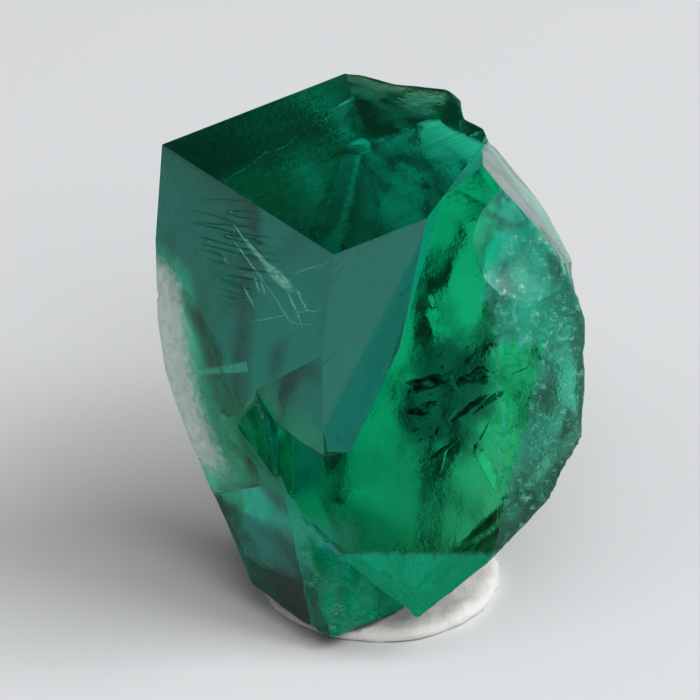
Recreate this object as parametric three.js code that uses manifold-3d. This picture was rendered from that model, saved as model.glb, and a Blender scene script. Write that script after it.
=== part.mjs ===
// A penetration twin of green fluorite, standing on a flattened pad of white mounting putty.
//
// Millimetres, +Z up. The crystal is drawn in the upper cube's own frame: its front top corner is the
// origin, +x runs back along the right top edge, +y runs back along the left top edge and +z is up, so
// the cube fills x > 0, y > 0, z < 0. The twin is that frame after a half turn about the cube's body
// diagonal (the fluorite law), and its big front face leans back a little and faces the viewer.
import * as THREE from "three";
import { ConvexGeometry } from "three/addons/geometries/ConvexGeometry.js";
import { mergeVertices } from "three/addons/utils/BufferGeometryUtils.js";
import Module from "manifold-3d";

const wasm = await Module();
wasm.setup();

// ---- driving dimensions -------------------------------------------------------------------------
const CUBE = 16; // length of the upper cube's left top edge
const TURN = 43.2; // degrees that the cube is turned about the vertical
const LEAN = 6; // degrees that the cube leans to the right
const BASE = -28.1; // the cube's lower face
const PAD_RADIUS = 7.7;
const PAD_HEIGHT = 1.1;
const CORNER = [-2.9, -8.4, 29.4]; // the front top corner, from the middle of the pad's underside
const GAP = 0.3; // between the crystal and the putty
const BIG = 80; // side of the blocks that cut

// ---- solids from three.js geometry --------------------------------------------------------------
function solid(geometry) {
  const bare = geometry.clone();
  bare.deleteAttribute("normal");
  bare.deleteAttribute("uv");
  const merged = mergeVertices(bare, 1e-4);
  const mesh = new wasm.Mesh({
    numProp: 3,
    vertProperties: new Float32Array(merged.attributes.position.array),
    triVerts: new Uint32Array(merged.index.array),
  });
  return new wasm.Manifold(mesh);
}

const vector = (p) => new THREE.Vector3(...p);
const hull = (points) => solid(new ConvexGeometry(points.map(vector)));

// An upright prism over an outline in the xy plane.
function prism(outline, low, high) {
  const shape = new THREE.Shape(outline.map(([x, y]) => new THREE.Vector2(x, y)));
  const geometry = new THREE.ExtrudeGeometry(shape, { depth: high - low, bevelEnabled: false });
  return solid(geometry.translate(0, 0, low));
}

function ellipsoid(centre, radii, turn = 0) {
  const geometry = new THREE.SphereGeometry(1, 28, 18);
  geometry.scale(...radii).rotateZ(THREE.MathUtils.degToRad(turn)).translate(...centre);
  return solid(geometry);
}

// Everything on the side that a plane faces.
function beyond(through, facing) {
  const turn = new THREE.Quaternion().setFromUnitVectors(
    new THREE.Vector3(0, 0, 1),
    vector(facing).normalize(),
  );
  const block = new THREE.BoxGeometry(BIG, BIG, BIG)
    .translate(0, 0, BIG / 2)
    .applyQuaternion(turn)
    .translate(...through);
  return solid(block);
}

const cut = (body, { through, facing }) => body.subtract(beyond(through, facing));

// ---- the upper cube -----------------------------------------------------------------------------
// The top face: two whole edges in front, the left one CUBE long, and a ragged break round the back.
const TOP_OUTLINE = [
  [0, 0],
  [8.1, 0],
  [11.1, 1.4],
  [14.7, 3.2],
  [18.3, 4.9],
  [19.0, 5.9],
  [18.8, 7.5],
  [20.2, 9.2],
  [20.3, 11],
  [18, 13.2],
  [16.8, 15.5],
  [16.2, CUBE],
  [0, CUBE],
];
const RIGHT_BREAK = { through: [8.1, 0, 0], facing: [0.431, -0.901, -0.048] };
const TONGUE_TOP = -10.6; // below this the front corner narrows to a rounded tongue
const TONGUE = { centre: [4, 0, TONGUE_TOP], radii: [8, 7.45, 5.4] };
// A growth face that undercuts the left face by about ten degrees, from a slanting step.
const UNDERCUT = { through: [0, 0, -7.5], facing: [-1, -0.17, -0.17] };
const FAR_LEFT = { through: [0, CUBE, 0], facing: [0, 1, -0.1] };
// Breaks at the back: the heel rises from the base, and the flank runs back to the left from the twin's
// right margin, under a sloping roof.
const HEEL = { through: [11, 2.5, BASE], facing: [0.46, 0.36, -0.81] };
const FLANK = { through: [14.8, -8.6, -17.6], facing: [0.91, 0.03, -0.41] };
const ROOF = { through: [21.3, -0.3, -7.3], facing: [0.45, 0.2, -0.87] };

function upperCube() {
  const block = prism(TOP_OUTLINE, TONGUE_TOP, 0);
  const below = prism(TOP_OUTLINE, -17, TONGUE_TOP + 0.01);
  const tongue = below.intersect(ellipsoid(TONGUE.centre, TONGUE.radii));
  const whole = cut(block.add(tongue), RIGHT_BREAK);
  const trimmed = cut(whole, FAR_LEFT);
  return cut(trimmed, UNDERCUT);
}

// ---- the lower body -----------------------------------------------------------------------------
// The left face goes on down in [y, z], narrowing along a thin translucent rim at its far side.
const LEFT_RIM = [
  [CUBE, 0],
  [15.6, -6.9],
  [14.6, -12.4],
  [13.3, -15.9],
  [11.5, -19],
  [8.8, -22.5],
  [7.4, -24.2],
];
// Behind that rim the crystal is broken away, which leaves a flange as thin as these distances from the
// left face: a row of [x, y, z] along the rim and another where the flange meets the body.
const FLANGE_RIM = [
  [0.3, 15.1, -11.4],
  [0.3, 13.3, -16.4],
  [1, 9.2, -22.9],
];
const FLANGE_ROOT = [
  [1.1, 13.4, -10.8],
  [2.7, 10.2, -13.6],
  [3.2, 5.6, -20.6],
];
const FLANGE_BACK = 6; // the break goes this far back from the left face,
const FLANGE_FLARE = 3; // and widens by this much on the way
const LOWER_CORNER = [1.6, -2.4, BASE];
const SHOULDER = [0.3, 1.9, -18.9]; // where the lower front edge comes out of the twin

function lowerBody() {
  const rim = LEFT_RIM.map(([y, z]) => [Math.max(0, 0.118 * (-z - 16.2)), y, z]);
  return hull([
    ...rim,
    [1.4, 5, BASE + 0.3],
    [1.4, -1, BASE],
    LOWER_CORNER,
    SHOULDER,
    [2.6, 1.8, -22],
    [0, 5.2, -12.8],
    [0, 5.4, -9.5],
    [0, 11, 0],
    [12, -2.4, BASE],
    [13, 5, BASE],
    [8, 9, BASE],
    [15, CUBE, 0],
    [18, 12.4, -1],
    [19.8, 10.6, -1],
    [20.5, 7, -3],
    [21.4, 4.5, -7],
    [20.4, 10.8, -12],
    [18.3, 13.3, -12],
    [15.6, 14.8, -12],
    [19, 6, -13.5],
    [16.8, 3.4, -19.5],
    [17, 7.5, -20.5],
    [11, 12.2, -22],
  ]);
}

function flangeBreak() {
  const behind = FLANGE_ROOT.map(([, y, z]) => [FLANGE_BACK, y + FLANGE_FLARE, z]);
  const outside = FLANGE_RIM.map(([x, y, z]) => [x, y + 4, z - 2.4]); // clear of the rim
  return hull([...FLANGE_RIM, ...FLANGE_ROOT, ...behind, ...outside]);
}

// ---- the twin -----------------------------------------------------------------------------------
// In the twin's own frame its front face is z = 0, x runs up to the left, y runs up to the right and
// z goes in. The origin is the face's lowest corner; the far corner stands out of the cube's top.
const TWIN_CORNER = [5.1, -6.3, -25.8];
const TWIN_TOP = 20.4;
const TWIN_LEFT = 17.2;
const TWIN_RIGHT = 21.7;
const TWIN_DEEP = 12;
const LEDGE = 1.3; // the lower left edge steps out by this much part of the way up
const CHIP = { centre: [14.8, 20.6, -2], radii: [4.8, 4.2, 3.1] }; // a shell-shaped chip at the top

const twinFrame = new THREE.Matrix4()
  .makeRotationAxis(new THREE.Vector3(1, 1, 1).normalize(), Math.PI)
  .setPosition(...TWIN_CORNER);

function twin() {
  const block = hull([
    [0, 0, 0],
    [5.6, -LEDGE, 0],
    [TWIN_LEFT, -LEDGE, 0],
    [TWIN_LEFT + 0.7, 1.2, 0],
    [TWIN_TOP, 12, 0],
    [TWIN_TOP, TWIN_RIGHT, 0],
    [12.2, TWIN_RIGHT, 0],
    [8.1, 20.4, 0.8],
    [2.2, 15.4, 1.4],
    [0.7, 11.5, 0.8],
    [0, 6, 0],
    [6, 14, 0],
    [11, TWIN_RIGHT, 4.5],
    [12.3, TWIN_RIGHT, 8],
    [13.9, TWIN_RIGHT, TWIN_DEEP],
    [19, TWIN_RIGHT, TWIN_DEEP],
    [TWIN_TOP, TWIN_RIGHT, 10],
    [TWIN_LEFT, -LEDGE, 4],
    [17, 8, TWIN_DEEP],
    [0.8, 0.6, 8],
    [6.4, 11.4, 6.6],
    [7, 5, TWIN_DEEP],
  ]);
  const chipped = block.subtract(ellipsoid(CHIP.centre, CHIP.radii, 35));
  return cut(chipped.transform(twinFrame.elements), { through: [0, 0, BASE], facing: [0, 0, -1] });
}

const crystalFrame = new THREE.Matrix4()
  .makeRotationY(THREE.MathUtils.degToRad(LEAN))
  .multiply(new THREE.Matrix4().makeRotationZ(THREE.MathUtils.degToRad(TURN)))
  .setPosition(...CORNER);

function crystal() {
  const behind = cut(lowerBody(), { through: TWIN_CORNER, facing: [-2, -2, 1] });
  const whole = upperCube().add(behind).subtract(flangeBreak()).add(twin());
  const flank = beyond(FLANK.through, FLANK.facing).intersect(beyond(ROOF.through, ROOF.facing));
  return cut(whole.subtract(flank), HEEL);
}

function geometryOf(body) {
  const { vertProperties, triVerts } = body.getMesh();
  return new THREE.BufferGeometry()
    .setAttribute("position", new THREE.BufferAttribute(new Float32Array(vertProperties), 3))
    .setIndex(new THREE.BufferAttribute(new Uint32Array(triVerts), 1));
}

const crystalGeometry = geometryOf(crystal()).applyMatrix4(crystalFrame);

// ---- the putty pad ------------------------------------------------------------------------------
function pad() {
  const profile = [
    [0, 0],
    [PAD_RADIUS - 0.2, 0],
    [PAD_RADIUS, 0.3],
    [PAD_RADIUS - 0.1, 0.7],
    [PAD_RADIUS - 0.4, PAD_HEIGHT - 0.1],
    [PAD_RADIUS - 0.9, PAD_HEIGHT],
    [0, PAD_HEIGHT],
  ].map(([r, z]) => new THREE.Vector2(r, z));
  let putty = solid(new THREE.LatheGeometry(profile, 48).rotateX(Math.PI / 2));
  const shifts = [
    [0, 0, -GAP],
    [GAP, 0, 0],
    [-GAP, 0, 0],
    [0, GAP, 0],
    [0, -GAP, 0],
  ];
  for (const shift of shifts) {
    putty = putty.subtract(solid(crystalGeometry.clone().translate(...shift)));
  }
  return putty;
}

// ---- the part -----------------------------------------------------------------------------------
function piece(name, geometry, look) {
  const mesh = new THREE.Mesh(geometry, new THREE.MeshStandardMaterial(look));
  mesh.name = name;
  return mesh;
}

const group = new THREE.Group();
group.add(
  piece("fluorite_twin", crystalGeometry, { color: 0x0b6b47, roughness: 0.08, metalness: 0 }),
  piece("putty_pad", geometryOf(pad()), { color: 0xe9e8e0, roughness: 0.7, metalness: 0 }),
);

export default group;
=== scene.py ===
import math
import bmesh
import bpy
import numpy as np
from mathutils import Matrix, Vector, noise
from mathutils.bvhtree import BVHTree
from mathutils.kdtree import KDTree


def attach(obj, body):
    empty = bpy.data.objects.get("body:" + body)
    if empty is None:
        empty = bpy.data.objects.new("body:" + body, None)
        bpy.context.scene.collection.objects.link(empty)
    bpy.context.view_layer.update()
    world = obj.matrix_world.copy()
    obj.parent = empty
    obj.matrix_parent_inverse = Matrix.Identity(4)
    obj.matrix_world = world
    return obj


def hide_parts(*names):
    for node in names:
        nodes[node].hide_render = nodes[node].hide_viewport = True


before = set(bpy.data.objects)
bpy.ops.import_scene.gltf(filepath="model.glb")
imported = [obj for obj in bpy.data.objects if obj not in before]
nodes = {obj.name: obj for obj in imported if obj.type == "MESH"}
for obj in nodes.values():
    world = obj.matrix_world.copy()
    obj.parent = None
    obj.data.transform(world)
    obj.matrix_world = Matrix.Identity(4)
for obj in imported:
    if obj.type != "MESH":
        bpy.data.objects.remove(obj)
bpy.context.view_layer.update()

MM = 0.001

NOISE_SEED = 1795342472
noise.seed_set(NOISE_SEED)  # otherwise noise_vector takes its seed from the clock, and each run differs


def turned(axis, degrees):
    """3x3 rotation about an axis."""
    x, y, z = np.array(axis, float) / np.linalg.norm(axis)
    a = math.radians(degrees)
    k = np.array([[0, -z, y], [z, 0, -x], [-y, x, 0]])
    return np.eye(3) + math.sin(a) * k + (1 - math.cos(a)) * (k @ k)


# ---- the crystal's two cubes, in millimetres
CUBE_AXES = turned((0, 1, 0), 6) @ turned((0, 0, 1), 43.2)
CORNER = np.array([-2.9, -8.4, 29.4])
TWIN_AXES = CUBE_AXES @ turned((1, 1, 1), 180)
TWIN_CORNER = CORNER + CUBE_AXES @ np.array([5.1, -6.3, -25.8])


def cube_point(p):
    return CORNER + CUBE_AXES @ np.array(p, float)


def twin_point(p):
    return TWIN_CORNER + TWIN_AXES @ np.array(p, float)


def cube_plane(through, facing):
    n = CUBE_AXES @ (np.array(facing, float) / np.linalg.norm(facing))
    return n, n @ cube_point(through)


def twin_plane(through, facing):
    n = TWIN_AXES @ (np.array(facing, float) / np.linalg.norm(facing))
    return n, n @ twin_point(through)


# The faces that grew flat. Everything else is broken or etched.
TWIN_FRONT = twin_plane((0, 0, 0), (0, 0, -1))
TOP = cube_plane((0, 0, 0), (0, 0, 1))
LEFT = cube_plane((0, 0, 0), (-1, 0, 0))
RIGHT = cube_plane((0, 0, 0), (0, -1, 0))
UNDERCUT = cube_plane((0, 0, -7.5), (-1, -0.17, -0.17))  # the left face below its slanting step
LOWER_LEFT = cube_plane((0, 0, -16.2), (-1, 0, -0.118))
BASE = cube_plane((0, 0, -28.1), (0, 0, -1))
RIGHT_BREAK = cube_plane((8.1, 0, 0), (0.431, -0.901, -0.048))  # a clean cleavage beside the twin
TWIN_SIDE = twin_plane((0, 0, 0), (-1, 0, 0))
STRIP = twin_plane((0, 21.7, 0), (0, 1, 0))  # seen nearly edge on at the upper right
TWIN_END = twin_plane((20.4, 0, 0), (1, 0, 0))  # the small bright facet at the top
GROWN = [TWIN_FRONT, TOP, LEFT, RIGHT, UNDERCUT, LOWER_LEFT, BASE, RIGHT_BREAK, TWIN_SIDE, STRIP, TWIN_END]

# Directions that surfaces at the back face
FAR_LEFT = CUBE_AXES @ np.array([0, 0.9925, -0.122])
BEHIND = np.array([0.0, 0.9, -0.43])
SLIVER = np.array([-0.26, 0.88, -0.39])  # a narrow face between the far left wall and the flank

WALL_LOW = -11.4  # the far left wall is broken below a line that starts here
WALL_RISE = 0.43  # and rises by this much per mm along it
CHIP_CENTRE = (14.8, 20.6, -2)
CHIP_REACH = (5.2, 5.2, 3.4)
IN_PLANE = 0.06  # a face within this many mm of a plane, and parallel to it, lies in it


# ---- mesh helpers
def read(mesh, what):
    values = np.empty(len(mesh.vertices) * 3)
    mesh.vertices.foreach_get(what, values)
    return values.reshape(-1, 3)


def read_faces(mesh, what):
    values = np.empty(len(mesh.polygons) * 3)
    mesh.polygons.foreach_get(what, values)
    return values.reshape(-1, 3)


def object_of(name, mesh):
    o = bpy.data.objects.new(name, mesh)
    bpy.context.scene.collection.objects.link(o)
    return o


def evaluated(o):
    """The object's mesh with its modifiers applied; the object itself is removed."""
    mesh = bpy.data.meshes.new_from_object(o.evaluated_get(bpy.context.evaluated_depsgraph_get()))
    bpy.data.objects.remove(o)
    return mesh


def remeshed(mesh, voxel):
    o = object_of("remeshed", mesh)
    remesh = o.modifiers.new("remesh", "REMESH")
    remesh.mode = "VOXEL"
    remesh.voxel_size = voxel * MM
    return evaluated(o)


def merged(mesh):
    bm = bmesh.new()
    bm.from_mesh(mesh)
    bmesh.ops.remove_doubles(bm, verts=bm.verts, dist=1e-6)
    whole = bpy.data.meshes.new("merged")
    bm.to_mesh(whole)
    bm.free()
    return whole


def wall_planes(mesh):
    """The planes of the far left wall, which is nearly flat but bends a little as it goes down."""
    near = read_faces(mesh, "normal") @ FAR_LEFT > 0.965
    normals = read_faces(mesh, "normal")[near]
    centres = read_faces(mesh, "center")[near] / MM
    return [(n, n @ c) for n, c in zip(normals, centres)]


def flat_faces(mesh, planes):
    """For each face, whether it lies in one of the planes."""
    centres = read_faces(mesh, "center") / MM
    normals = read_faces(mesh, "normal")
    flat = np.zeros(len(centres), bool)
    for n, d in planes:
        flat |= (normals @ n > 0.995) & (abs(centres @ n - d) < IN_PLANE)
    return flat


def distances(points, mesh, keep):
    """Distance in mm from each point to the nearest of the faces that are kept."""
    faces = [tuple(p.vertices) for p, k in zip(mesh.polygons, keep.tolist()) if k]
    tree = BVHTree.FromPolygons([v.co for v in mesh.vertices], faces)
    return np.array([tree.find_nearest(p * MM)[3] for p in points]) / MM


def waves(points, scale, seed):
    """Three smooth random numbers between about -1 and 1 at each point, over `scale` mm."""
    shift = Vector((seed * 7.3, seed * 3.1, seed * 5.7))
    return np.array([noise.noise_vector(Vector(p) / scale + shift) for p in points])


def thickness(points, normals, mesh):
    """How many mm of the solid lie straight behind each point of its surface."""
    faces = [tuple(p.vertices) for p in mesh.polygons]
    tree = BVHTree.FromPolygons([v.co for v in mesh.vertices], faces)
    start = 0.3  # just under the surface
    through = []
    for p, n in zip(points, normals):
        hit = tree.ray_cast(Vector((p - start * n) * MM), Vector(-n))[3]
        through.append(start + (hit / MM if hit else 0))
    return np.array(through)


SKIN = 2450.0  # the crystal's surface, in square mm


def scoops(points, normals, spacing, depth, slope, seed):
    """Depth in mm of overlapping shell-shaped dents scattered over the points."""
    rng = np.random.default_rng(seed)
    seeds = rng.choice(len(points), int(SKIN / spacing**2), replace=False)
    tree = KDTree(len(seeds))
    for i, s in enumerate(seeds):
        tree.insert(points[s], i)
    tree.balance()
    bent = points + waves(points, 0.8 * spacing, seed) * 0.45 * spacing
    near = np.array([[hit[1] for hit in tree.find_n(p, 4)] for p in bent])
    tilt = rng.normal(size=(len(seeds), 3))
    tilt -= (tilt * normals[seeds]).sum(1)[:, None] * normals[seeds]
    tilt *= slope * rng.random((len(seeds), 1)) / np.linalg.norm(tilt, axis=1)[:, None]
    deep = depth * (0.2 + 0.8 * rng.random(len(seeds)))
    away = bent[:, None, :] - points[seeds][near]
    curve = (0.8 * spacing) ** 2 / depth
    heights = deep[near] + (away * tilt[near]).sum(2) - (away**2).sum(2) / curve
    return heights.max(1).clip(0)


def behind_share(normals):
    """1 on breaks at the back, which roll smoothly, down to 0 on those that face the front."""
    return ((normals @ BEHIND - 0.15) / 0.3).clip(0, 1)


VOXEL = 0.24
FINE_VOXEL = 0.2
COARSE = dict(spacing=3.0, depth=0.6, slope=0.35, seed=3)
MIDDLE = dict(spacing=1.3, depth=0.18, slope=0.35, seed=4)
SWELLS = ((0.55, 3.6, 11), (0.1, 1.5, 12))  # half the depth, the width and the seed of rolling dents
EDGE_SLOPE = 1.3  # how steeply a break climbs to the edge of a grown face
THIN = 0.12  # no dent is deeper than this share of the thickness
PROUD = 0.6  # how far the worn envelope stands off the grown faces
MARGIN = 7.5  # the twin's front face is bruised and chipped to the right of this
FADE = 4.0  # behind the twin's front face, dents reach their full depth over this distance
ONLY_RIGHT = 2.0  # which holds to the right of this


def near_breaks(points, normals, source, flat):
    """Distance in mm to the nearest break, also those on the twin's margin and on the far left wall."""
    from_break = distances(points, source, ~flat)
    wobble = waves(points, 1.5, 1)[:, 0]
    n, d = TWIN_FRONT
    on_front = (points @ n > d - 0.4) & (normals @ n > 0.8)
    to_margin = MARGIN + 0.7 * wobble - points[:, 0]
    from_break = np.where(on_front, np.minimum(from_break, to_margin.clip(0)), from_break)
    wall = flat & (read_faces(source, "normal") @ FAR_LEFT > 0.96)
    on_wall = (distances(points, source, wall) < 0.4) & (normals @ FAR_LEFT > 0.8)
    cube = (points - CORNER) @ CUBE_AXES
    above_break = cube[:, 2] - (WALL_LOW + WALL_RISE * cube[:, 0] + 0.8 * wobble)
    return np.where(on_wall, np.minimum(from_break, above_break.clip(0)), from_break)


def dents(points, normals, source, flat):
    """Depth in mm of the wear: scoops on the breaks in front, and rolling dents on those behind."""
    from_grown = distances(points, source, flat)
    depth = scoops(points, normals, **COARSE) * (0.22 + 0.78 * (from_grown / 3).clip(0, 1))
    depth += scoops(points, normals, **MIDDLE) * (0.5 + 0.5 * (from_grown / 2).clip(0, 1))
    swell = sum(half * (1 + waves(points, width, seed)[:, 0]) for half, width, seed in SWELLS)
    swell *= 0.1 + 0.9 * (from_grown / 4).clip(0, 1)
    behind = behind_share(normals)
    depth = depth * (1 - behind) + swell * behind
    n, d = TWIN_FRONT
    depth *= np.where(points[:, 0] > ONLY_RIGHT, ((d - points @ n) / FADE).clip(0.25, 1), 1)
    return np.minimum(depth, THIN * thickness(points, normals, source))


def worn(source, planes):
    """The CAD solid with its broken surfaces scooped and chipped, and its grown faces left flat."""
    shell = remeshed(source, VOXEL)
    points = read(shell, "co") / MM
    normals = read(shell, "normal")
    flat = flat_faces(source, planes)
    climb = EDGE_SLOPE * (near_breaks(points, normals, source, flat) - 0.1).clip(0)
    offset = np.minimum(climb - dents(points, normals, source, flat), PROUD)
    shell.vertices.foreach_set("co", ((points + offset[:, None] * normals) * MM).ravel())
    cutter = object_of("cutter", remeshed(shell, FINE_VOXEL))
    whole = object_of("whole", source)
    both = whole.modifiers.new("both", "BOOLEAN")
    both.operation = "INTERSECT"
    both.solver = "EXACT"
    both.object = cutter
    mesh = evaluated(whole)
    bpy.data.objects.remove(cutter)
    return mesh


def shade(mesh, flat):
    """Smooth shading, with sharp edges round the grown faces and wherever a break folds."""
    bm = bmesh.new()
    bm.from_mesh(mesh)
    bm.faces.ensure_lookup_table()
    flat = flat.tolist()
    for face in bm.faces:
        face.smooth = True
    for edge in bm.edges:
        if len(edge.link_faces) == 2:
            one, two = edge.link_faces
            fold = edge.calc_face_angle(0)
            edge.smooth = flat[one.index] == flat[two.index] and fold < math.radians(38)
            if flat[one.index] and flat[two.index]:
                edge.smooth = fold < math.radians(2)
    bm.to_mesh(mesh)
    bm.free()


# ---- cracks inside
COVER = 0.25  # the least crystal between a crack and the surface
CRACK_RINGS = 6
CRACK_SIDES = 28
CRACK_OPEN = 0.03  # how wide a crack stands open at its middle
FEATHERS = 60
FEATHER_MIDDLE = (9.5, 10.5)  # on the twin's front face
FEATHER_DEPTHS = (1.0, 6)
CLEAR_LEFT = 1.6  # no feathers to the left of this, where the upper cube covers the twin


def octahedral(a, b, c):
    """A cleavage plane of the twin."""
    n = TWIN_AXES @ np.array([a, b, c], float)
    return n / np.linalg.norm(n)


def crack(centre, normal, along, length, width, seed, wave=0.06):
    """Vertices and faces of one thin open crack, facing inward so that it is a gap in the crystal."""
    rng = np.random.default_rng(seed)
    along = along - (along @ normal) * normal
    along /= np.linalg.norm(along)
    across = np.cross(normal, along)
    rings, sides = CRACK_RINGS, CRACK_SIDES
    angle = np.arange(sides) * 2 * math.pi / sides
    ragged = 1 + 0.45 * (rng.random(sides) - 0.5) + 0.15 * np.sin(3 * angle + rng.random() * 6)
    points = [centre]
    for ring in range(1, rings + 1):
        r = ring / rings
        spread = r * (1 + (ragged - 1) * r)
        for a, k in zip(angle, spread):
            points.append(centre + along * length / 2 * math.cos(a) * k
                          + across * width / 2 * math.sin(a) * k)
    middle = np.array(points)
    middle += normal * (waves(middle, 0.9, seed)[:, :1] * wave * max(width, 0.5))
    rim = len(middle) - sides
    half = np.full(len(middle), CRACK_OPEN / 2)
    for ring in range(1, rings + 1):
        start = 1 + (ring - 1) * sides
        half[start:start + sides] = CRACK_OPEN / 2 * (1 - (ring / rings) ** 2)
    upper = middle + normal * half[:, None]
    lower = (middle - normal * half[:, None])[:rim]

    def under(i):
        return i + len(middle) if i < rim else i

    faces = []
    for side in range(sides):
        after = (side + 1) % sides
        faces.append((0, 1 + after, 1 + side))
        faces.append((under(0), under(1 + side), under(1 + after)))
        for ring in range(rings - 1):
            a, b = 1 + ring * sides + side, 1 + ring * sides + after
            c, d = a + sides, b + sides
            faces.append((a, b, d, c))
            faces.append((under(a), under(c), under(d), under(b)))
    return np.vstack([upper, lower]), faces


def buried(points, tree, cover):
    """Whether every point lies at least `cover` mm inside the surface."""
    for p in points:
        spot, normal, _, distance = tree.find_nearest(p * MM)
        if distance < cover * MM or (Vector(p * MM) - spot).dot(normal) > 0:
            return False
    return True


def add_cracks(mesh, cracks):
    """Joins the cracks that fit inside the crystal to its own mesh, as gaps in it."""
    bm = bmesh.new()
    bm.from_mesh(mesh)
    tree = BVHTree.FromBMesh(bm)
    for points, faces in cracks:
        if not buried(points, tree, COVER):
            continue
        made = [bm.verts.new(p * MM) for p in points]
        for face in faces:
            bm.faces.new([made[i] for i in face]).smooth = True
    bm.to_mesh(mesh)
    bm.free()


def inner_cracks():
    """Those that show plainly in the twin, and many small feathers."""
    s, t, z = TWIN_AXES.T
    bright = octahedral(1, -1, 1)
    dark = octahedral(1, 1, 1)
    falling = np.array([0.36, 0.28, -1.26])
    steep = np.array([0.15, 0.6, -1.2])
    rising = s + 8.3 * t - 9.3 * z
    wide = t - 0.2 * s - 0.8 * z
    made = [
        crack(twin_point((14, 12.8, 2.2)), bright, falling, 3.6, 1.3, 1),
        crack(twin_point((15.4, 13.5, 2.4)), bright, falling, 1.1, 0.5, 2),
        crack(twin_point((4.8, 9.5, 2)), bright, steep, 4.2, 0.9, 3),
        crack(twin_point((7.35, 8.1, 2.4)), dark, rising, 3.9, 0.45, 4),
        crack(twin_point((8.4, 11.1, 2.6)), dark, rising, 4.4, 0.6, 5),
        crack(twin_point((7.9, 12.3, 3.0)), dark, rising, 3.8, 0.5, 9),
        crack(twin_point((11.2, 10.0, 3.4)), dark, wide, 3.9, 1.6, 6, wave=0.2),
        crack(twin_point((9.6, 12.4, 3.8)), dark, rising, 3.0, 1.8, 7, wave=0.2),
        crack(twin_point((10.2, 8.6, 3.0)), dark, wide, 2.4, 1.1, 10, wave=0.2),
    ]
    rng = np.random.default_rng(8)
    planes = [octahedral(*signs) for signs in ((1, -1, 1), (1, -1, 1), (-1, 1, 1), (1, 1, 1))]
    for i in range(FEATHERS):
        middle = rng.random() < 0.6
        reach = rng.normal(size=2) * (2.2 if middle else 5)
        place = twin_point((*(FEATHER_MIDDLE + reach), rng.uniform(*FEATHER_DEPTHS)))
        size = 0.3 + 2.2 * rng.random() ** 2
        normal = planes[rng.integers(4)] + rng.normal(size=3) * 0.12
        normal /= np.linalg.norm(normal)
        along = rising / 10 + rng.normal(size=3) * 0.4
        if place[0] < CLEAR_LEFT:
            continue
        made.append(crack(place, normal, along, size, 0.08 + size * rng.uniform(0.05, 0.2), 20 + i))
    return made


# ---- materials
UNDER, OVER, MIXED = 6, 7, 2  # the colour sockets of a Mix node


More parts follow.
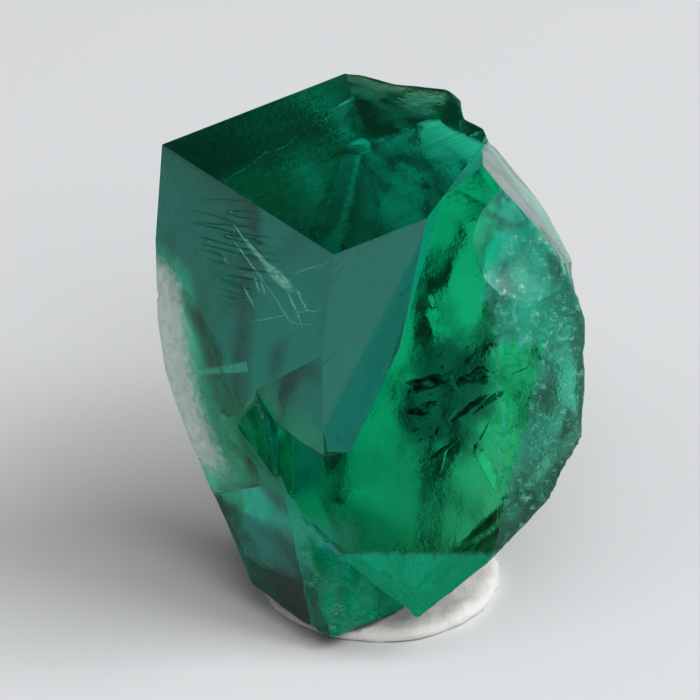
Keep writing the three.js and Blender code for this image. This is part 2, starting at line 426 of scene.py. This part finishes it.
class Nodes:
    """Short names for the shader nodes that the materials use."""

    def __init__(self, name):
        self.material = bpy.data.materials.new(name)
        self.material.use_nodes = True
        self.tree = self.material.node_tree
        self.surface = self.tree.nodes["Principled BSDF"]
        self.output = self.tree.nodes["Material Output"]

    def add(self, kind, **settings):
        node = self.tree.nodes.new(kind)
        for key, value in settings.items():
            setattr(node, key, value)
        return node

    def link(self, value, socket):
        if hasattr(value, "links"):
            self.tree.links.new(value, socket)
        else:
            socket.default_value = value

    def math(self, operation, a, b=0.0, clamp=False):
        node = self.add("ShaderNodeMath", operation=operation, use_clamp=clamp)
        self.link(a, node.inputs[0])
        self.link(b, node.inputs[1])
        return node.outputs[0]

    def fold(self, operation, values):
        total = values[0]
        for value in values[1:]:
            total = self.math(operation, total, value)
        return total

    def times(self, *values):
        return self.fold("MULTIPLY", values)

    def plus(self, *values):
        return self.fold("ADD", values)

    def most(self, *values):
        return self.fold("MAXIMUM", values)

    def off(self, value, level):
        """How far a value is from a level."""
        return self.math("ABSOLUTE", self.math("SUBTRACT", value, level))

    def mix(self, share, under, over):
        node = self.add("ShaderNodeMix", data_type="RGBA")
        self.link(share, node.inputs["Factor"])
        self.link(under, node.inputs[UNDER])
        node.inputs[OVER].default_value = (*over, 1)
        return node.outputs[MIXED]

    def place(self):
        """Position in mm."""
        where = self.add("ShaderNodeTexCoord").outputs["Object"]
        node = self.add("ShaderNodeVectorMath", operation="SCALE")
        self.link(where, node.inputs[0])
        node.inputs["Scale"].default_value = 1 / MM
        return node.outputs[0]

    def along(self, vector, direction):
        node = self.add("ShaderNodeVectorMath", operation="DOT_PRODUCT")
        self.link(vector, node.inputs[0])
        node.inputs[1].default_value = direction
        return node.outputs["Value"]

    def frame(self, place, axes, origin):
        """The coordinates of a place in another frame: its three numbers."""
        shifted = self.add("ShaderNodeVectorMath", operation="SUBTRACT")
        self.link(place, shifted.inputs[0])
        shifted.inputs[1].default_value = origin
        return [self.along(shifted.outputs[0], axis) for axis in axes.T]

    def vector(self, x, y, z):
        node = self.add("ShaderNodeCombineXYZ")
        for value, socket in zip((x, y, z), node.inputs):
            self.link(value, socket)
        return node.outputs[0]

    def stroke(self, place, start, end, width):
        """How far a place on a face is from a long thin ellipse: under 1 inside it."""
        (a, b), (c, d) = start, end
        node = self.add("ShaderNodeMapping", vector_type="TEXTURE")
        self.link(place, node.inputs["Vector"])
        node.inputs["Location"].default_value = ((a + c) / 2, (b + d) / 2, 0)
        node.inputs["Rotation"].default_value = (0, 0, math.atan2(d - b, c - a))
        node.inputs["Scale"].default_value = (math.hypot(c - a, d - b) / 2 + 0.1, width / 2, 1)
        length = self.add("ShaderNodeVectorMath", operation="LENGTH")
        self.link(node.outputs[0], length.inputs[0])
        return length.outputs["Value"]

    def noise(self, vector, scale, detail=2.0, roughness=0.5):
        node = self.add("ShaderNodeTexNoise")
        self.link(vector, node.inputs["Vector"])
        node.inputs["Scale"].default_value = scale
        node.inputs["Detail"].default_value = detail
        node.inputs["Roughness"].default_value = roughness
        return node.outputs["Fac"]

    def ramp(self, value, low, high, to_low=0.0, to_high=1.0):
        node = self.add("ShaderNodeMapRange", interpolation_type="SMOOTHSTEP")
        self.link(value, node.inputs["Value"])
        node.inputs["From Min"].default_value = low
        node.inputs["From Max"].default_value = high
        node.inputs["To Min"].default_value = to_low
        node.inputs["To Max"].default_value = to_high
        return node.outputs[0]

    def attribute(self, name):
        return self.add("ShaderNodeAttribute", attribute_name=name).outputs["Fac"]

    def bump(self, height, distance):
        node = self.add("ShaderNodeBump")
        node.inputs["Distance"].default_value = distance * MM
        self.link(height, node.inputs["Height"])
        return node.outputs[0]


# Whitish marks on the left face: y and z of their ends, and their width, in mm.
MARKS = [
    ((9.0, -2.3), (7.4, -3.1), 0.2),
    ((7.9, -2.8), (5.0, -3.9), 0.55),
    ((5.9, -3.7), (3.0, -4.2), 1.1),
    ((3.6, -4.5), (1.9, -6.3), 0.24),
    ((2.8, -4.0), (1.8, -5.0), 0.3),
    ((8.7, -3.5), (5.2, -5.2), 0.16),
    ((5.4, -5.0), (2.5, -6.9), 0.14),
    ((6.6, -5.0), (6.0, -5.9), 0.2),
    ((6.1, -5.0), (5.4, -5.8), 0.2),
    ((7.4, -6.2), (6.2, -7.2), 0.2),
    ((6.4, -8.3), (3.0, -5.9), 0.1),
    ((3.2, -5.9), (0.2, -4.2), 0.1),
    ((3.6, -3.3), (0.3, -0.7), 0.09),
    ((4.2, -6.9), (0.5, -5.6), 0.08),
]


WARP_SCALE = 2.2
WARP = 0.34  # the marks wander by this many mm
GROOVE_SLANT = (0.33, 0.94)  # across the grooves, in y and z
GROOVE_MIDDLE = (8.4, -3.4)  # the middle of the patch that has them

# Places on the twin's front face. Each is an ellipse: the ends of its long axis and its width, in mm up
# to the left and up to the right from the face's lowest corner.
# DARK_MIDDLE and DARK_LEDGE mark where painted shade darkens the twin's front.
DARK_MIDDLE = ((13.6, 15.4), (7.0, 6.0), 7.5)
DARK_LEDGE = ((18.0, 0.6), (11.0, 0.2), 5.0)
# The chip's clear end and the lowest facet, below TIP, carry a painted green glow.
CHIP_LENS = ((18.5, 20.3), (15.2, 17.7), 1.9)
BRUISE = ((15.2, 21.0), (9.7, 16.6), 4.8)
UPWARD = (0.762, 0.612)  # the way up that face
TIP = 4.9  # the lowest facet reaches this far up it
RIM_CURVE = ((-14.15, 0.0), (16.15, 0.0), 53.0)  # on the left face, whose far rim follows it

# The shares of red, green and blue that the crystal's surface lets through, where they aren't a face's
# own. The middle and ledge shares are painted shade, the streak share is darker growth streaks plus
# painted shade, and the green glow share is painted light; the rim and the other frosts are the crystal's
# own.
PAINTED_SHADE_MIDDLE = (0.05, 0.1, 0.04)
PAINTED_SHADE_LEDGE = (0.1, 0.3, 0.13)
STREAKS_AND_PAINTED_SHADE = (0.03, 0.16, 0.1)
RIM_SHARE = (0.95, 1.0, 0.97)
LIGHT_FROST = (0.16, 0.8, 0.56)
HEAVY_FROST = (0.8, 0.93, 0.84)
PAINTED_GLOW_GREEN = (0.03, 0.75, 0.4)


def scratches(n, left_face):
    """1 on the marks on the left face, whose lines wander a little."""
    warp = n.add("ShaderNodeTexNoise")
    n.link(left_face, warp.inputs["Vector"])
    warp.inputs["Scale"].default_value = WARP_SCALE
    warp.inputs["Detail"].default_value = 2
    shift = n.add("ShaderNodeVectorMath", operation="MULTIPLY_ADD")
    n.link(warp.outputs["Color"], shift.inputs[0])
    shift.inputs[1].default_value = (WARP, WARP, 0)
    n.link(left_face, shift.inputs[2])
    bent = n.add("ShaderNodeVectorMath", operation="SUBTRACT")
    n.link(shift.outputs[0], bent.inputs[0])
    bent.inputs[1].default_value = (WARP / 2, WARP / 2, 0)
    nearest = 9.0
    for mark in MARKS:
        nearest = n.math("MINIMUM", nearest, n.stroke(bent.outputs[0], *mark))
    return n.ramp(nearest, 1.1, 0.6)


def etched_grooves(n, y, z):
    """1 along short, nearly level grooves in a patch of the left face."""
    across_y, across_z = GROOVE_SLANT
    slant = n.plus(n.times(y, across_y), n.times(z, across_z))
    run = n.math("SUBTRACT", n.times(y, across_z), n.times(z, across_y))
    wave = n.noise(n.vector(n.times(run, 0.12), n.times(slant, 1.3), 4.0), 1.2, detail=0)
    y_middle, z_middle = GROOVE_MIDDLE
    patch = n.plus(n.off(y, y_middle), n.off(z, z_middle))
    return n.times(n.ramp(n.off(wave, 0.5), 0.05, 0.0), n.ramp(patch, 5.6, 2.6))


def fluorite():
    n = Nodes("fluorite")
    surface = n.surface
    surface.inputs["IOR"].default_value = 1.434
    absorb = n.add("ShaderNodeVolumeAbsorption")
    absorb.inputs["Color"].default_value = (0.0, 0.875, 0.86, 1)
    absorb.inputs["Density"].default_value = 400  # per metre
    n.link(absorb.outputs[0], n.output.inputs["Volume"])

    place = n.place()
    x, y, z = n.frame(place, CUBE_AXES, tuple(CORNER))
    up_left, up_right, inward = n.frame(place, TWIN_AXES, tuple(TWIN_CORNER))
    left_face = n.vector(y, z, 0.0)
    front_face = n.vector(up_left, up_right, 0.0)
    on_left = n.ramp(n.math("ABSOLUTE", x), 0.4, 0.1)
    on_top = n.ramp(z, -0.4, -0.1)
    on_front = n.ramp(inward, 0.9, 0.5)
    broken = n.attribute("broken")
    cloudy = n.attribute("cloudy")
    frosted = n.attribute("frosted")
    fine = n.noise(place, 2.2, detail=3, roughness=0.65)
    rub = n.noise(place, 9.0, detail=1, roughness=0.7)
    growth = n.noise(n.vector(n.times(x, 0.06), y, z), 3.2, detail=2, roughness=0.7)  # lines along x

    # places, each 1 inside and 0 well outside
    marks = n.times(scratches(n, left_face), on_left)
    grooves = n.times(etched_grooves(n, y, z), on_left)
    reach = n.stroke(left_face, *RIM_CURVE)
    rim = n.times(n.ramp(reach, 0.74, 0.96), n.ramp(z, -6.5, -9.5),
                  n.ramp(x, 3.5, 2.5), n.ramp(z, -23.0, -19.0))
    margin = n.ramp(n.along(place, (1, 0, 0)), 6.6, 9.0)
    bruise = n.plus(n.stroke(front_face, *BRUISE), n.noise(place, 1.1, detail=3))
    bruise = n.times(n.ramp(bruise, 1.75, 1.35), n.ramp(inward, 4.5, 3.0))
    height = n.plus(n.times(up_left, UPWARD[0]), n.times(up_right, UPWARD[1]), n.times(fine, 0.8))
    tip = n.times(n.ramp(height, TIP, TIP - 0.5), on_front)
    # painted light: a green glow on the lowest facet and the chip's clear end, standing in for light
    # shining through them
    lens = n.plus(n.stroke(front_face, *CHIP_LENS), n.noise(place, 1.4, detail=4, roughness=0.7))
    on_chip = n.ramp(frosted, 0.11, 0.13)
    green = n.most(tip, n.times(n.ramp(lens, 1.9, 1.2), on_chip))
    # painted shade: the twin's middle and a ledge along its lower edge are darkened
    middle = n.plus(n.stroke(front_face, *DARK_MIDDLE), n.noise(place, 0.5, detail=3, roughness=0.6))
    middle = n.times(n.ramp(middle, 1.55, 1.0), on_front)
    ledge_shade = n.times(n.ramp(n.stroke(front_face, *DARK_LEDGE), 1.4, 0.8), n.ramp(inward, 3.0, 2.0))
    # painted shade: a darker band over the far end of the top face, added to darker streaks along the
    # growth lines
    far_end_shade = n.times(n.ramp(y, 9.5, 12.0, 0.0, 0.9), n.ramp(x, 12.5, 9.0))
    streaks_and_shade = n.plus(far_end_shade, n.ramp(growth, 0.45, 0.65, 0.0, 0.5))
    streaks_and_shade = n.math("MULTIPLY", streaks_and_shade, on_top, clamp=True)

    # the whitish share of bruised and thin places, which scatters light instead of passing it; on the
    # lowest facet and the chip's clear end it carries the painted green glow
    specks = n.noise(place, 1.6, detail=7, roughness=0.8)
    frost = n.most(
        n.times(margin, broken, n.ramp(fine, 0.5, 0.7, 0.06, 0.34)),
        n.times(frosted, n.ramp(fine, 0.3, 0.7, 0.4, 1.4)),
        n.times(marks, n.ramp(rub, 0.36, 0.58, 0.08, 0.5)),
        n.times(rim, n.ramp(fine, 0.3, 0.7, 0.55, 0.85)),
        n.times(bruise, n.ramp(specks, 0.46, 0.72, 0.06, 0.6)),
        n.times(green, 0.3),
    )
    n.link(n.math("SUBTRACT", 1.0, frost), surface.inputs["Transmission Weight"])

    colour = n.add("ShaderNodeAttribute", attribute_name="tint_and_shade").outputs["Color"]
    for share, shade in (
        (middle, PAINTED_SHADE_MIDDLE),
        (ledge_shade, PAINTED_SHADE_LEDGE),
        (streaks_and_shade, STREAKS_AND_PAINTED_SHADE),
        (n.ramp(rim, 0.0, 0.4), RIM_SHARE),
        (n.ramp(frost, 0.0, 0.1), LIGHT_FROST),
        (n.ramp(frost, 0.2, 0.55), HEAVY_FROST),
        (green, PAINTED_GLOW_GREEN),
    ):
        colour = n.mix(share, colour, shade)
    n.link(colour, surface.inputs["Base Color"])

    patches = n.ramp(n.noise(place, 0.45, detail=1), 0.35, 0.7, 0.14, 0.42)
    rough = n.times(broken, n.plus(patches, n.times(cloudy, 0.05)))
    rough = n.plus(rough, n.times(marks, 0.15))
    rough = n.most(rough, n.times(n.most(rim, bruise), 0.4), n.times(on_left, 0.2))
    n.link(rough, surface.inputs["Roughness"])

    relief = n.times(n.math("SUBTRACT", broken, n.times(cloudy, 0.75)), fine)
    relief = n.plus(relief, n.times(growth, 0.03), n.times(grooves, -0.7), n.times(marks, rub, 0.7))
    n.link(n.bump(relief, 0.16), surface.inputs["Normal"])
    return n.material


# The share of each colour that each grown face lets through: the twin is a warmer green than the cube. The
# low green shares of the cube's left, right, undercut and lower left faces are painted shade, one level
# for each face.
TINTS_AND_FACE_SHADE = [
    (TWIN_FRONT, (0.3, 1.0, 0.26)),
    (TOP, (0.3, 1.0, 0.5)),
    (LEFT, (0.5, 0.3, 0.27)),
    (RIGHT, (0.5, 0.3, 0.27)),
    (UNDERCUT, (0.3, 0.2, 0.17)),
    (LOWER_LEFT, (0.3, 0.12, 0.1)),
    (RIGHT_BREAK, (0.5, 0.7, 0.5)),
    (STRIP, (0.5, 0.9, 0.7)),
]
TINT_ELSEWHERE = (0.9, 1.0, 0.8)  # on breaks and cracks
TINT_FRONT_BREAKS = (0.4, 1.0, 0.6)
TINT_CHIP = (0.7, 1.0, 0.85)


def tints_and_shade(mesh, skin, flat, chip):
    """The share of each colour that each face lets through, with painted shade on some faces. The cracks
    come after the skin's faces.
    """
    centres = read_faces(mesh, "center")[:skin] / MM
    normals = read_faces(mesh, "normal")[:skin]
    shares = np.tile(TINT_ELSEWHERE, (len(mesh.polygons), 1))
    for part, share in TINTS_AND_FACE_SHADE:
        shares[:skin][flat_faces(mesh, [part])[:skin]] = share
    n, d = TWIN_FRONT
    front = (centres @ n > d - 1.2) & (normals @ n > 0.3)
    shares[:skin][front & ~flat] = TINT_FRONT_BREAKS
    shares[:skin][chip & ~flat] = TINT_CHIP
    # painted shade: faces turned towards the SLIVER direction are darkened, so that a bright bar seen
    # through the top face goes dark
    sliver_shade = ((normals @ SLIVER - 0.93) / 0.05).clip(0, 1)
    shares[:skin] *= 1 - 0.7 * sliver_shade[:, None]
    return shares


def face_numbers(mesh, name, numbers, on_cracks=0.0):
    """Stores one number for each face of the skin, and another for all the cracks."""
    values = np.full(len(mesh.polygons), on_cracks)
    values[:len(numbers)] = numbers
    mesh.attributes.new(name, "FLOAT", "FACE").data.foreach_set("value", values)


def crystal_mesh(source):
    planes = GROWN + wall_planes(source)
    mesh = worn(source, planes)
    mesh.materials.clear()
    mesh.materials.append(fluorite())
    flat = flat_faces(mesh, planes)
    shade(mesh, flat)
    skin = len(mesh.polygons)
    add_cracks(mesh, inner_cracks())
    centres = read_faces(mesh, "center")[:skin] / MM
    normals = read_faces(mesh, "normal")[:skin]
    from_chip = (centres - twin_point(CHIP_CENTRE)) @ TWIN_AXES / CHIP_REACH
    chip = np.linalg.norm(from_chip, axis=1) < 1
    strip, end = (flat & (abs(centres @ n - d) < IN_PLANE) for n, d in (STRIP, TWIN_END))
    tint_and_shade = mesh.attributes.new("tint_and_shade", "FLOAT_VECTOR", "FACE")
    tint_and_shade.data.foreach_set("vector", tints_and_shade(mesh, skin, flat, chip).ravel())
    broken = np.select([strip, end, flat, chip], [0.4, 0.7, 0.0, 0.2], 1.0)
    face_numbers(mesh, "broken", broken, on_cracks=0.25)
    face_numbers(mesh, "frosted", np.select([strip, end, chip & ~flat], [0.1, 0.2, 0.14], 0.0))
    face_numbers(mesh, "cloudy", behind_share(normals))
    return mesh


crystal = object_of("crystal", crystal_mesh(merged(nodes["fluorite_twin"].data)))
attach(crystal, "root")
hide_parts("fluorite_twin")

# ---- putty
PUTTY_VOXEL = 0.22
PUTTY_LUMPS = ((0.2, 1.7, 21), (0.09, 0.55, 22))  # half the height, the width and the seed
PUTTY_FLAT = 0.35  # the lumps fade out towards the floor, below this height


def puttied(source):
    """The CAD pad, kneaded: lumpy on its top and side, flat underneath."""
    shell = remeshed(source, PUTTY_VOXEL)
    points = read(shell, "co") / MM
    lumps = sum(half * waves(points, width, seed)[:, 0] for half, width, seed in PUTTY_LUMPS)
    lumps *= (points[:, 2] / PUTTY_FLAT).clip(0, 1)
    moved = points + read(shell, "normal") * lumps[:, None]
    shell.vertices.foreach_set("co", (moved * MM).ravel())
    for face in shell.polygons:
        face.use_smooth = True
    return shell


def putty_material():
    n = Nodes("putty")
    n.surface.inputs["Base Color"].default_value = (0.93, 0.925, 0.89, 1)
    n.surface.inputs["Roughness"].default_value = 0.55
    grain = n.noise(n.place(), 3.5, detail=5, roughness=0.7)
    n.link(n.bump(grain, 0.12), n.surface.inputs["Normal"])
    return n.material


mesh = puttied(merged(nodes["putty_pad"].data))
mesh.materials.clear()
mesh.materials.append(putty_material())
putty = object_of("putty", mesh)
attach(putty, "root")
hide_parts("putty_pad")

# ---- room
paper = Nodes("paper")
paper.surface.inputs["Base Color"].default_value = (0.72, 0.733, 0.746, 1)
paper.surface.inputs["Roughness"].default_value = 0.9
paper.surface.inputs["Specular IOR Level"].default_value = 0.1
bpy.ops.mesh.primitive_plane_add(size=3.0, location=(0, 0, 0))
floor = bpy.context.object
floor.name = "floor"
floor.data.materials.append(paper.material)

world = bpy.context.scene.world or bpy.data.worlds.new("world")
bpy.context.scene.world = world
world.use_nodes = True
world.node_tree.nodes["Background"].inputs["Color"].default_value = (0.9, 0.95, 1, 1)
world.node_tree.nodes["Background"].inputs["Strength"].default_value = 0.03


LIT = (0, 0, 15 * MM)  # the lights aim at the middle of the crystal


def softbox(name, azimuth, elevation, distance, size, power):
    """A soft light aimed at the crystal; azimuth 0 is towards the camera, 90 to the right."""
    a, e = math.radians(azimuth), math.radians(elevation)
    way = Vector((math.sin(a) * math.cos(e), -math.cos(a) * math.cos(e), math.sin(e)))
    light = bpy.data.lights.new(name, "AREA")
    light.shape = "RECTANGLE"
    light.size, light.size_y = size
    light.energy = power
    o = bpy.data.objects.new(name, light)
    o.location = Vector(LIT) + way * distance
    o.rotation_mode = "QUATERNION"
    o.rotation_quaternion = way.to_track_quat("Z", "Y")
    bpy.context.scene.collection.objects.link(o)


softbox("key", 83, 48, 1.2, (0.8, 0.8), 11.0)
softbox("overhead", 0, 88, 1.0, (1.4, 1.4), 2.3)
softbox("front", 18, 50, 1.2, (0.9, 0.7), 6.2)
softbox("fill", -50, 45, 1.2, (0.7, 0.7), 1.2)

# ---- camera
ELEVATION = math.radians(31.3)
DISTANCE = 1.2
FRAME_WIDTH = 44.6 * MM
SENSOR = 36
AIM = (-1.88 * MM, 1.6 * MM, 16.31 * MM)
back = Vector((0, -math.cos(ELEVATION), math.sin(ELEVATION)))
data = bpy.data.cameras.new("camera")
data.sensor_width = SENSOR
data.lens = SENSOR * DISTANCE / FRAME_WIDTH
camera = bpy.data.objects.new("camera", data)
camera.location = Vector(AIM) + back * DISTANCE
camera.rotation_mode = "QUATERNION"
camera.rotation_quaternion = back.to_track_quat("Z", "Y")
bpy.context.scene.collection.objects.link(camera)
bpy.context.scene.camera = camera

# ---- view
scene = bpy.context.scene
scene.cycles.transmission_bounces = 16
scene.cycles.max_bounces = 20
scene.cycles.volume_bounces = 0
scene.cycles.caustics_refractive = False  # the shadow stays grey
scene.view_settings.view_transform = "Standard"
scene.view_settings.gamma = 0.88
scene.view_settings.exposure = 0.06
